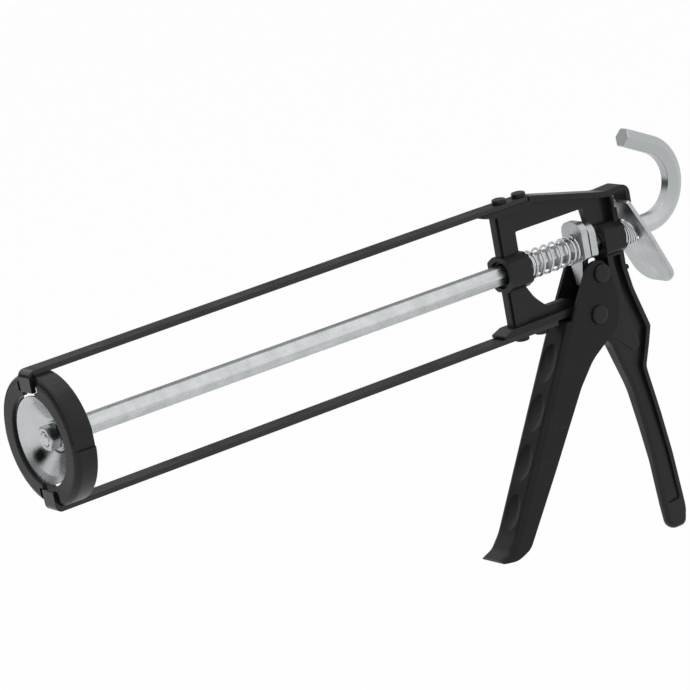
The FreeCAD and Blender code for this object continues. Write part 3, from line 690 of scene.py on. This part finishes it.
def refined(node: str, bevel: float, crease: float = 28.0) -> Shape:
    """Copy a CAD node, join its triangles into faces and soften its sharp edges.

    Args:
        node: The CAD node's name.
        bevel: Width of the softened edges in millimetres, or nothing for none.
        crease: Edges sharper than this many degrees are softened.

    Returns:
        The new shape.
    """
    shape = bmesh.new()
    shape.from_mesh(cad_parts[node].data)
    bmesh.ops.remove_doubles(shape, verts=shape.verts, dist=CAD_WELD)
    bmesh.ops.dissolve_limit(
        shape, angle_limit=FLAT_ANGLE, verts=shape.verts, edges=shape.edges, delimit={"NORMAL"},
    )
    if bevel:
        limit = math.radians(crease)
        closed = (edge for edge in shape.edges if edge.is_manifold)
        sharp = [edge for edge in closed if edge.calc_face_angle() > limit]
        bmesh.ops.bevel(
            shape, geom=sharp, offset=bevel * MM, offset_type="OFFSET", segments=2, profile=0.5,
            affect="EDGES", clamp_overlap=True, material=-1, loop_slide=True,
        )
    many_sided = [face for face in shape.faces if len(face.verts) > 4]
    bmesh.ops.triangulate(shape, faces=many_sided)
    return shape


def close_ends(shape: Shape) -> None:
    """Fill a shape's open ends and turn its faces outwards.

    Args:
        shape: The shape to close.
    """
    rims = [edge for edge in shape.edges if edge.is_boundary]
    bmesh.ops.holes_fill(shape, edges=rims, sides=0)
    bmesh.ops.recalc_face_normals(shape, faces=shape.faces)


@dataclass
class Assembly:
    """Base of the sub-assemblies: it knows the finishes and dresses the CAD nodes."""

    finishes: Finishes

    def dress(
        self, shape: Shape, node: str, body: Body, slot: Slot, material: Material,
        crease: float = 35.0,
    ) -> bpy.types.Object:
        """Make a shape the visible stand-in of one CAD node.

        Args:
            shape: The finished shape.
            node: The CAD node that it replaces.
            body: The rigid body that carries it.
            slot: The material slot; not used.
            material: The finish.
            crease: Edges sharper than this many degrees stay sharp.

        Returns:
            The new object.
        """
        piece = finish_piece(shape, f"{node}_skin", body, material, crease)
        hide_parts(node)
        return piece


# ---------------------------------------------------------------- cradle
@dataclass
class Cradle(Assembly):
    """Front ring and the two flat bars."""

    ring_bevel: float = 0.15
    ring_crease: float = 40.0
    bar_bevel: float = 0.28

    def build(self) -> None:
        """Build the ring and both bars."""
        ring = refined("front_ring", self.ring_bevel, self.ring_crease)
        self.dress(ring, "front_ring", Body.FRAME, Slot.ENAMEL, self.finishes.pressed)
        for node in ("upper_bar", "lower_bar"):
            bar = refined(node, self.bar_bevel)
            self.dress(bar, node, Body.FRAME, Slot.ENAMEL, self.finishes.strip)


# ---------------------------------------------------------------- casting and rivets
@dataclass
class Casting(Assembly):
    """The ribbed frame with its grip, and the rivets that hold the bars to it."""

    casting_bevel: float = 0.18
    casting_crease: float = 30.0
    rivet_radius: float = 3.2
    rivet_height: float = 2.2
    rivet_crown: float = 0.35
    rivet_flat: float = 1.5
    rivet_shoulder: float = 2.3
    shoulder_share: float = 0.25
    brim_share: float = 0.8
    rivet_edge: float = 0.3
    rivet_foot: float = 0.15
    shank_share: float = 0.43
    rivet_steps: int = 40

    def build(self) -> None:
        """Build the casting and its four bar rivets."""
        shape = refined("frame_casting", self.casting_bevel)
        self.dress(
            shape, "frame_casting", Body.FRAME, Slot.ENAMEL, self.finishes.cast,
            self.casting_crease,
        )
        for level, up in (("upper", 1), ("lower", -1)):
            for end in ("front", "rear"):
                self.build_rivet(f"{level}_{end}_rivet", up)

    def build_rivet(self, node: str, up: int) -> None:
        """Build one bar rivet, with its low crown outwards.

        Args:
            node: The CAD node's name.
            up: 1 for a head on top, -1 for one underneath.
        """
        low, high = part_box(node)
        tip = high[2] if up > 0 else low[2]
        centre = Vector(((low[0] + high[0]) / 2, 0, tip))
        length = (high[2] - low[2]) / MM
        crown, edge, foot = self.rivet_crown, self.rivet_edge, self.rivet_foot
        radius, under = self.rivet_radius, -self.rivet_height
        shank = radius * self.shank_share
        profile = [
            (0, 0), (0, self.rivet_flat), (-crown * self.shoulder_share, self.rivet_shoulder),
            (-crown * self.brim_share, radius - edge), (-crown - edge, radius),
            (under + foot, radius), (under, radius - foot), (under, shank),
            (-length, shank), (-length, 0),
        ]
        shape = spun(profile, centre, UPWARD * up, FORWARD, self.rivet_steps)
        self.dress(shape, node, Body.FRAME, Slot.ENAMEL, self.finishes.head)


# ---------------------------------------------------------------- trigger
@dataclass
class Trigger(Assembly):
    """Channel trigger with its pivot rivet and the rivet that drives the plates."""

    trigger_bevel: float = 0.2
    trigger_crease: float = 30.0
    pin_radius: float = 2.9
    pin_steps: int = 56
    head_radius: float = 4.3
    head_height: float = 1.4
    head_foot: float = 0.15
    head_flat: float = 1.4
    head_crown: Profile = ((0.75, 0.0), (0.35, 0.25), (0.12, 0.8), (0.05, 1.3))

    def build(self) -> None:
        """Build the trigger and both rivets."""
        shape = refined("trigger", self.trigger_bevel)
        self.dress(
            shape, "trigger", Body.TRIGGER, Slot.ENAMEL, self.finishes.lever,
            self.trigger_crease,
        )
        self.build_pin("pivot_rivet", Body.FRAME)
        self.build_pin("drive_rivet", Body.TRIGGER)

    def build_pin(self, node: str, body: Body) -> None:
        """Build one cross rivet with a low crowned head at each end.

        The crown's steps are given as how far they lie below its top and in from its rim.

        Args:
            node: The CAD node's name.
            body: The rigid body that carries it.
        """
        low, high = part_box(node)
        centre = Vector(((low[0] + high[0]) / 2, 0, (low[2] + high[2]) / 2))
        reach = (high[1] - low[1]) / 2 / MM
        neck = reach - self.head_height
        radius, foot = self.head_radius, self.head_foot
        half = [
            (neck, self.pin_radius), (neck, radius - foot), (neck + foot, radius),
            *((reach - down, radius - inwards) for down, inwards in self.head_crown),
            (reach, self.head_flat), (reach, 0),
        ]
        profile = [(-along, distance) for along, distance in reversed(half)] + half
        shape = spun(profile, centre, LEFT, FORWARD, self.pin_steps)
        self.dress(shape, node, body, Slot.ENAMEL, self.finishes.head)


# ---------------------------------------------------------------- clutch
@dataclass(frozen=True)
class Winding:
    """A coil spring in millimetres, close at its ends and open in between."""

    radius: float
    wire: float
    front_turns: float
    front_pitch: float
    open_turns: float
    rear_turns: float
    rear_pitch: float
    facets: int = 12
    steps: int = 40

    def spin(self, start: float, room: float) -> Shape:
        """Spin the wire into a coil that runs rearwards round the rod.

        Args:
            start: Place of the first turn's wire centre along the rod, in metres.
            room: From there to the last turn's wire centre, in millimetres.

        Returns:
            The closed coil.
        """
        closed = self.front_turns * self.front_pitch + self.rear_turns * self.rear_pitch
        stages = (
            (self.front_turns, self.front_pitch),
            (self.open_turns, (room - closed) / self.open_turns),
            (self.rear_turns, self.rear_pitch),
        )
        shape = bmesh.new()
        place = Matrix.Translation((start, 0, self.radius * MM)) @ ALONG_COIL
        first = bmesh.ops.create_circle(
            shape, cap_ends=False, segments=self.facets, radius=self.wire / 2 * MM, matrix=place,
        )
        ends = list({edge for vert in first["verts"] for edge in vert.link_edges})
        for turns, pitch in stages:
            geometry = list({vert for edge in ends for vert in edge.verts}) + ends
            result = bmesh.ops.spin(
                shape, geom=geometry, cent=(start, 0, 0), axis=FORWARD,
                dvec=(-pitch * MM / self.steps, 0, 0), angle=math.tau * turns,
                steps=round(turns * self.steps), use_duplicate=False,
            )
            last = result["geom_last"]
            ends = [item for item in last if isinstance(item, bmesh.types.BMEdge)]
        bmesh.ops.remove_doubles(shape, verts=shape.verts, dist=COIL_WELD)
        close_ends(shape)
        return shape


@dataclass
class Clutch(Assembly):
    """Drive plates, release plate and their two coil springs."""

    plate_bevel: float = 0.18
    drive_winding: Winding = Winding(
        radius=5.9, wire=1.2, front_turns=2.0, front_pitch=2.16,
        open_turns=4.25, rear_turns=2.0, rear_pitch=2.16,
    )
    drive_keep: float = 0.63
    release_winding: Winding = Winding(
        radius=6.6, wire=1.0, front_turns=1.3, front_pitch=1.2,
        open_turns=0.6, rear_turns=2.9, rear_pitch=1.03,
    )
    release_keep: float = 0.69
    release_lean: float = 25.7
    release_overhang: float = 5.9
    release_seat: float = 0.5
    tongue_rise: float = 2.6
    tongue_waist: float = 0.5

    def build(self) -> None:
        """Build the plates and springs."""
        for node in ("front_drive_plate", "rear_drive_plate"):
            plate = refined(node, self.plate_bevel)
            self.dress(plate, node, Body.PLATES, Slot.ZINC, self.finishes.plate)
        self.build_release_plate()
        self.build_drive_spring()
        self.build_release_spring()

    def build_release_plate(self) -> None:
        """Build the leaning plate, whose tongue narrows inside the hood."""
        plate = refined("release_plate", self.plate_bevel)
        crown = max(vert.co.z for vert in plate.verts) - self.tongue_rise * MM
        tongue = [vert for vert in plate.verts if vert.co.z > crown]
        bmesh.ops.scale(plate, vec=(1, self.tongue_waist, 1), verts=tongue)
        self.dress(plate, "release_plate", Body.RELEASE, Slot.ZINC, self.finishes.plate)

    def build_drive_spring(self) -> None:
        """Build the long spring between the front hub and the drive plates."""
        low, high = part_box("drive_spring")
        wire = self.drive_winding.wire
        room = (high[0] - low[0]) / MM - wire
        shape = self.drive_winding.spin(high[0] - wire / 2 * MM, room)
        piece = self.dress(shape, "drive_spring", Body.FRAME, Slot.WIRE, self.finishes.wire)
        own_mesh(piece)

    def build_release_spring(self) -> None:
        """Build the short spring whose last turns lean with the release plate."""
        low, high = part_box("release_spring")
        half_wire = self.release_winding.wire / 2
        start = high[0] - half_wire * MM
        lean = math.tan(math.radians(self.release_lean))
        overhang = half_wire + self.release_overhang * lean - self.release_seat
        length = start - low[0] - overhang * MM
        shape = self.release_winding.spin(start, length / MM)
        for vert in shape.verts:
            share = min(max((start - vert.co.x) / length, 0.0), 1.0)
            vert.co.x += share * lean * vert.co.z
        piece = self.dress(shape, "release_spring", Body.FRAME, Slot.WIRE, self.finishes.wire)
        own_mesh(piece)


# ---------------------------------------------------------------- plunger
@dataclass
class Plunger(Assembly):
    """Hexagonal rod with its hook, the dished disc, the washer and the nut."""

    across: float = 8.0
    corner: float = 0.3
    bend_start: float = -324.2
    bend_radius: float = 18.0
    bend_turn: float = 154.0
    bend_step: float = 4.0
    leg: float = 16.0
    tip_chamfer: float = 0.3
    tip_share: float = 0.93
    rod_crease: float = 24.0
    shoulder: float = -9.7
    stud_radius: float = 2.9
    stud_tip: float = -2.3
    stud_lead: float = 0.45
    stud_point: float = 0.7
    stud_relief: float = 0.2
    thread_pitch: float = 1.0
    thread_depth: float = 0.45
    thread_cover: float = 2.4
    thread_steps: int = 48
    disc_crease: float = 30.0
    nut_across: float = 9.5
    nut_rear: float = -7.7
    nut_front: float = -2.9
    nut_face: float = 0.94
    nut_slope: float = 0.55
    nut_spare: float = 0.05
    nut_bore_chamfer: float = 0.5
    nut_steps: int = 60
    nut_crease: float = 25.0

    def build(self) -> None:
        """Build the rod and what it carries."""
        self.build_rod()
        self.build_disc()
        self.build_nut()

    def build_rod(self) -> None:
        """Build the rod straight, mark its lines, and bend its rear end into the hook."""
        shape = bmesh.new()
        straightened = shape.verts.layers.float_vector.new(Flow.STRAIGHTENED.value)
        place = Matrix.Translation((self.shoulder * MM, 0, 0)) @ ALONG_ROD
        reach = self.across / 2 / math.cos(HEXAGON_HALF)
        first = bmesh.ops.create_circle(shape, segments=6, radius=reach * MM, matrix=place)
        bmesh.ops.bevel(
            shape, geom=first["verts"], offset=self.corner * MM, offset_type="OFFSET",
            segments=3, profile=0.5, affect="VERTICES", material=-1,
        )
        straight = self.shoulder - self.bend_start
        arc = math.radians(self.bend_turn) * self.bend_radius
        steps = round(self.bend_turn / self.bend_step)
        runs = [straight, *[arc / steps] * steps, self.leg - self.tip_chamfer, self.tip_chamfer]
        ends = list(shape.edges)
        for run in runs:
            ends = self.extend(shape, ends, run)
        tip = list({vert for edge in ends for vert in edge.verts})
        bmesh.ops.scale(shape, vec=(1, self.tip_share, self.tip_share), verts=tip)
        rims = [edge for edge in shape.edges if edge.is_boundary]
        bmesh.ops.holes_fill(shape, edges=rims, sides=0)
        for vert in shape.verts:
            vert[straightened] = vert.co
            beyond = self.bend_start * MM - vert.co.x
            if beyond > 0:
                vert.co = self.bent(beyond / MM, vert.co.y, vert.co.z)
        self.add_stud(shape)
        bmesh.ops.recalc_face_normals(shape, faces=shape.faces)
        self.dress(
            shape, "plunger_rod", Body.ROD, Slot.ZINC, self.finishes.rod, self.rod_crease
        )

    def extend(self, shape: Shape, ends: Edges, run: float) -> Edges:
        """Extrude the rod's open end rearwards.

        Args:
            shape: The rod so far.
            ends: The open end's edges.
            run: How far to extrude, in millimetres.

        Returns:
            The new open end's edges.
        """
        grown = bmesh.ops.extrude_edge_only(shape, edges=ends)["geom"]
        verts = [item for item in grown if isinstance(item, bmesh.types.BMVert)]
        bmesh.ops.translate(shape, vec=(-run * MM, 0, 0), verts=verts)
        moved = set(verts)
        edges = (item for item in grown if isinstance(item, bmesh.types.BMEdge))
        return [edge for edge in edges if set(edge.verts) <= moved]

    def bent(self, beyond: float, across: float, up: float) -> Vector:
        """Place a point of the straight rod on the hook.

        Args:
            beyond: How far behind the bend's start the point lies, in millimetres.
            across: The point's Y, in metres.
            up: The point's Z, in metres.

        Returns:
            The point's place, in metres.
        """
        turn = min(beyond / self.bend_radius, math.radians(self.bend_turn))
        rest = beyond - turn * self.bend_radius
        centre = Vector((self.bend_start, 0, self.bend_radius)) * MM
        inward = Vector((math.sin(turn), 0, math.cos(turn)))
        along = Vector((-math.cos(turn), 0, math.sin(turn)))
        return (
            centre - inward * (self.bend_radius * MM - up) + along * rest * MM + LEFT * across
        )

    def add_stud(self, shape: Shape) -> None:
        """Add the stud in front of the rod's shoulder, threaded where it stands out of the nut.

        Args:
            shape: The rod.
        """
        crest, root = self.stud_radius, self.stud_radius - self.thread_depth
        profile = [(self.stud_tip, 0), (self.stud_tip, crest - self.stud_point)]
        place = self.stud_tip - self.stud_lead
        while place > self.nut_front - self.thread_cover:
            profile += [(place, crest), (place - self.thread_pitch / 2, root)]
            place -= self.thread_pitch
        plain = crest - self.stud_relief
        profile += [(place, plain), (self.shoulder, plain), (self.shoulder, 0)]
        stud = spun(profile, ORIGIN, FORWARD, UPWARD, self.thread_steps)
        mesh = mesh_of(stud, "stud")
        shape.from_mesh(mesh)
        bpy.data.meshes.remove(mesh)

    def build_disc(self) -> None:
        """Build the pressed disc and the washer, whose edges stay as they are."""
        for node, finish in (
            ("plunger_disc", self.finishes.dished), ("disc_washer", self.finishes.turned),
        ):
            self.dress(refined(node, 0.0), node, Body.ROD, Slot.ZINC, finish, self.disc_crease)

    def build_nut(self) -> None:
        """Build the nut: a hexagonal prism turned down to a cone at both ends."""
        middle = (self.nut_front + self.nut_rear) / 2
        height = self.nut_front - self.nut_rear
        flat = self.nut_across / 2
        reach = flat / math.cos(HEXAGON_HALF)
        shape = bmesh.new()
        bmesh.ops.create_cone(
            shape, cap_ends=True, segments=6, radius1=reach * MM, radius2=reach * MM,
            depth=height * MM, matrix=Matrix.Translation((middle * MM, 0, 0)) @ ALONG_ROD,
        )
        finish = self.finishes.turned
        prism = finish_piece(shape, "disc_nut_skin", Body.ROD, finish)
        blank = finish_piece(self.nut_blank(flat, reach), "nut_blank", Body.ROD, finish)
        turned = prism.modifiers.new("turned ends", "BOOLEAN")
        turned.operation = "INTERSECT"
        turned.solver = "EXACT"
        turned.object = blank
        graph = bpy.context.evaluated_depsgraph_get()
        mesh = bpy.data.meshes.new_from_object(prism.evaluated_get(graph))
        prism.modifiers.clear()
        prism.data = mesh
        shade(mesh, self.nut_crease)
        bpy.data.objects.remove(blank)
        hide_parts("disc_nut")

    def nut_blank(self, flat: float, reach: float) -> Shape:
        """Spin the bored, double-coned blank that the nut's prism is cut to.

        Args:
            flat: From the axis to the nut's flats, in millimetres.
            reach: From the axis to the nut's corners, in millimetres.

        Returns:
            The closed blank.
        """
        front, rear, chamfer = self.nut_front, self.nut_rear, self.nut_bore_chamfer
        face = flat * self.nut_face
        drop = (reach - face) * self.nut_slope
        outside = reach + self.nut_spare
        bore = self.stud_radius + self.nut_spare
        profile = [
            (front, bore + chamfer), (front, face), (front - drop, outside),
            (rear + drop, outside), (rear, face), (rear, bore + chamfer),
            (rear + chamfer, bore), (front - chamfer, bore), (front, bore + chamfer),
        ]
        return spun(profile, ORIGIN, FORWARD, UPWARD, self.nut_steps)


# ---------------------------------------------------------------- studio
@dataclass(frozen=True)
class Lamp:
    """A soft square lamp: its place and width in metres and its power in watts."""

    name: str
    place: Triple
    width: float
    power: float


@dataclass(frozen=True)
class Flag:
    """A dark panel of the surroundings: its direction, and the cosines between which it fades."""

    side: Triple
    rim: float
    core: float


@dataclass
class Studio:
    """Camera, lamps, floor and surroundings."""

    azimuth: float = 146.193
    elevation: float = 14.278
    roll: float = -10.558
    distance: float = 1.351225
    aside: float = 0.121458
    above: float = 0.038289
    lens: float = 177.865
    sensor: float = 36.0
    far_limit: float = 30.0
    lamps: Sequence[Lamp] = (
        Lamp("overhead", (-0.80, 0.95, 0.90), 0.9, 0.45),
        Lamp("ceiling", (-0.10, -0.10, 1.50), 1.2, 5.0),
        Lamp("front", (1.05, 0.10, 0.85), 0.7, 0.6),
    )
    flags: Sequence[Flag] = (
        Flag((0.565, -0.825, 0.0), 0.90, 0.99),
        Flag((0.80, -0.60, 0.0), 0.90, 0.99),
        Flag((0.896, -0.135, 0.422), 0.93, 0.985),
        Flag((-0.539, -0.805, 0.247), 0.965, 1.0),
    )
    flag_level: float = 0.03
    room_colour: Triple = (0.93, 0.94, 0.96)
    room_level: float = 0.62
    floor_colour: Triple = (0.9, 0.9, 0.9)
    floor_glow: float = 0.93
    floor_white: float = 1.02
    floor_drop: float = 0.30
    floor_half: float = 4.0

    def axes(self) -> tuple[Vector, Vector, Vector]:
        """Work out how the camera is turned.

        Returns:
            Its right, up and backward directions.
        """
        turn, rise, roll = (math.radians(v) for v in (self.azimuth, self.elevation, self.roll))
        level = math.cos(rise)
        back = Vector((math.sin(turn) * level, -math.cos(turn) * level, math.sin(rise)))
        right = Vector((math.cos(turn), math.sin(turn), 0))
        up = back.cross(right)
        return (
            math.cos(roll) * right + math.sin(roll) * up,
            math.cos(roll) * up - math.sin(roll) * right,
            back,
        )

    def place_camera(self) -> None:
        """Put the camera where the object fills the frame."""
        right, up, back = self.axes()
        lens = bpy.data.cameras.new("camera")
        lens.sensor_width = self.sensor
        lens.lens = self.lens
        lens.clip_end = self.far_limit
        camera = add_object("camera", lens)
        place = Matrix((right, up, back)).transposed().to_4x4()
        place.translation = back * self.distance + right * self.aside + up * self.above
        camera.matrix_world = place
        bpy.context.scene.camera = camera

    def place_lamps(self) -> None:
        """Hang the soft lamps, each turned to the middle of the object."""
        low, high = (Vector(corner) for corner in CAD_BOX)
        middle = (low + high) / 2
        for lamp in self.lamps:
            light = bpy.data.lights.new(lamp.name, "AREA")
            light.size = lamp.width
            light.energy = lamp.power
            holder = add_object(lamp.name, light)
            holder.location = lamp.place
            aim = middle - Vector(lamp.place)
            holder.rotation_euler = aim.to_track_quat("-Z", "Y").to_euler()

    def seen_directly(self, tree: Tree) -> Socket:
        """Add a mask that is 1 for rays that show the background itself.

        Args:
            tree: The world's or the floor's node tree.

        Returns:
            The mask's output socket.
        """
        rays = add_node(tree, "ShaderNodeLightPath").outputs
        either = combine(tree, "MAXIMUM", rays["Is Camera Ray"], rays["Is Glossy Ray"])
        return combine(tree, "MAXIMUM", either, rays["Is Transmission Ray"])

    def flag_shade(self, tree: Tree, where: Socket, flag: Flag) -> Socket:
        """Add the level that one flag leaves of the surroundings' light.

        Args:
            tree: The world's node tree.
            where: The direction that a ray looks in.
            flag: The dark panel.

        Returns:
            The level's socket, which is 1 clear of the flag.
        """
        facing = combine(tree, "DOT_PRODUCT", where, flag.side, kind="ShaderNodeVectorMath")
        edge = (flag.rim, flag.core)
        return remap(tree, facing, edge, (1.0, self.flag_level), "SMOOTHSTEP")

    def build_world(self) -> None:
        """Light the room evenly, show it white, and hang the dark flags that only gloss shows."""
        world = bpy.data.worlds.new("studio")
        world.use_nodes = True
        tree = world.node_tree
        tree.nodes.clear()
        where = add_node(tree, "ShaderNodeTexCoord").outputs["Generated"]
        level, *others = [self.flag_shade(tree, where, flag) for flag in self.flags]
        for shade in others:
            level = combine(tree, "MULTIPLY", level, shade)
        path = add_node(tree, "ShaderNodeLightPath")
        clear = combine(tree, "MAXIMUM", level, path.outputs["Is Camera Ray"])
        room, white = (
            add_node(tree, "ShaderNodeBackground", Color=(*colour, 1), Strength=strength)
            for colour, strength in ((self.room_colour, self.room_level), (WHITE, clear))
        )
        show_mixed(
            tree, "ShaderNodeOutputWorld", self.seen_directly(tree),
            room.outputs["Background"], white.outputs["Background"],
        )
        bpy.context.scene.world = world

    def floor_material(self) -> Material:
        """Build the pale floor's material, which shows white and still takes a shadow.

        Returns:
            The material.
        """
        material = bpy.data.materials.new("pale floor")
        material.use_nodes = True
        tree = material.node_tree
        tree.nodes.clear()
        matt = add_node(tree, "ShaderNodeBsdfDiffuse", Color=(*self.floor_colour, 1))
        glow = add_node(
            tree, "ShaderNodeEmission", Color=(*WHITE, 1), Strength=self.floor_white
        )
        share = combine(tree, "MULTIPLY", self.seen_directly(tree), self.floor_glow)
        show_mixed(
            tree, "ShaderNodeOutputMaterial", share,
            matt.outputs["BSDF"], glow.outputs["Emission"],
        )
        return material

    def build_floor(self) -> None:
        """Lay a plain pale floor that keeps a soft shadow."""
        height = CAD_BOX[0][2] - self.floor_drop
        shape = bmesh.new()
        bmesh.ops.create_grid(
            shape, x_segments=1, y_segments=1, size=self.floor_half,
            matrix=Matrix.Translation((0, 0, height)),
        )
        mesh = mesh_of(shape, "floor")
        mesh.materials.append(self.floor_material())
        floor = add_object("floor", mesh)

    def build(self) -> None:
        """Set up the whole studio."""
        bpy.context.scene.view_settings.view_transform = "Standard"
        self.place_camera()
        self.place_lamps()
        self.build_world()
        self.build_floor()


def main() -> None:
    """Build the studio and every sub-assembly."""
    logging.basicConfig(level=logging.INFO, format="%(name)s: %(message)s")
    Studio().build()
    finishes = Finishes.build()
    for assembly in (Cradle, Casting, Trigger, Clutch, Plunger):
        assembly(finishes).build()
        LOG.info("%s built", assembly.__name__)


if __name__ == "__main__":
    main()
